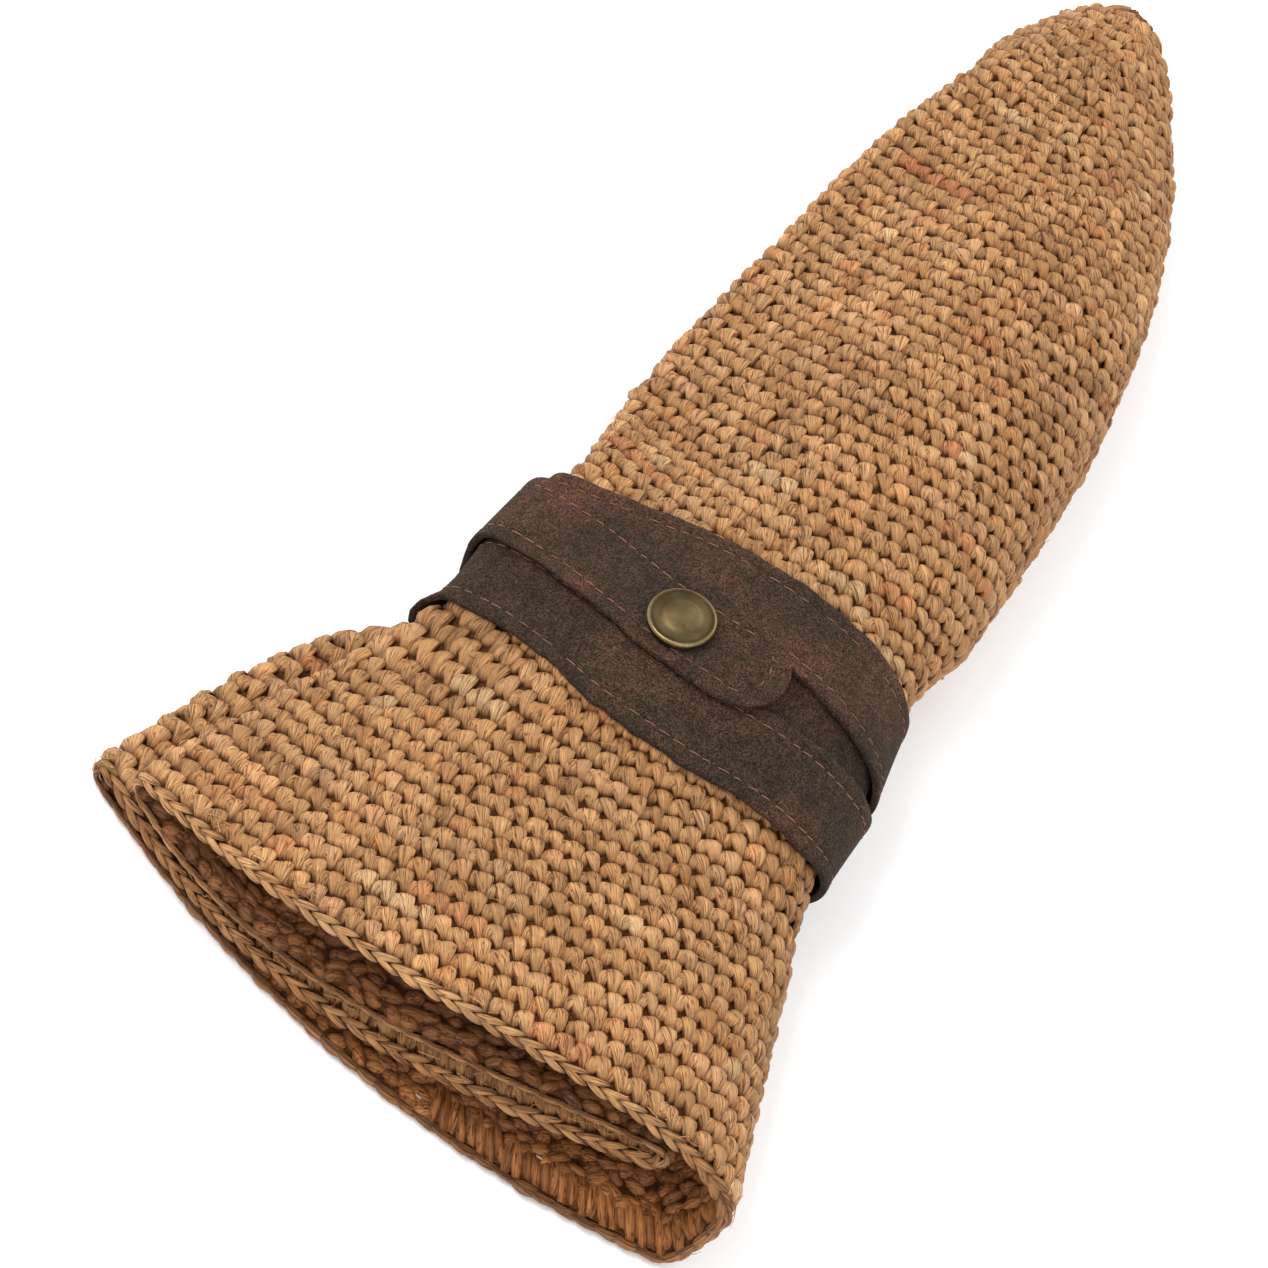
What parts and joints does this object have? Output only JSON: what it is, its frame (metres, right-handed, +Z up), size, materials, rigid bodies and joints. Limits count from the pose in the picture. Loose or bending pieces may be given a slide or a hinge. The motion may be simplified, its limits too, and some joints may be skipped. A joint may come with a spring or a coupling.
{
  "type": "rolled raffia hat",
  "caption": "Crocheted raffia sun hat folded into a trumpet-shaped roll and held by a wound suede strap with a snap, for packing and travel.",
  "frame": {"origin": "centre of the bounding box on the surface that the roll lies on", "axes": "+Y along the roll from its open mouth to its pointed tip, +Z up, +X towards the round side bend"},
  "size_m": [0.1368, 0.293, 0.0449],
  "materials": {
    "raffia": "crocheted flat raffia strands, satin",
    "suede": "brushed suede, matt",
    "antique_brass": "antiqued, worn bright at the rim"
  },
  "bodies": {
    "root": {"hat_body": "raffia", "band": "suede", "snap_cap": "antique_brass", "snap_stud": "antique_brass"}
  },
  "joints": []
}
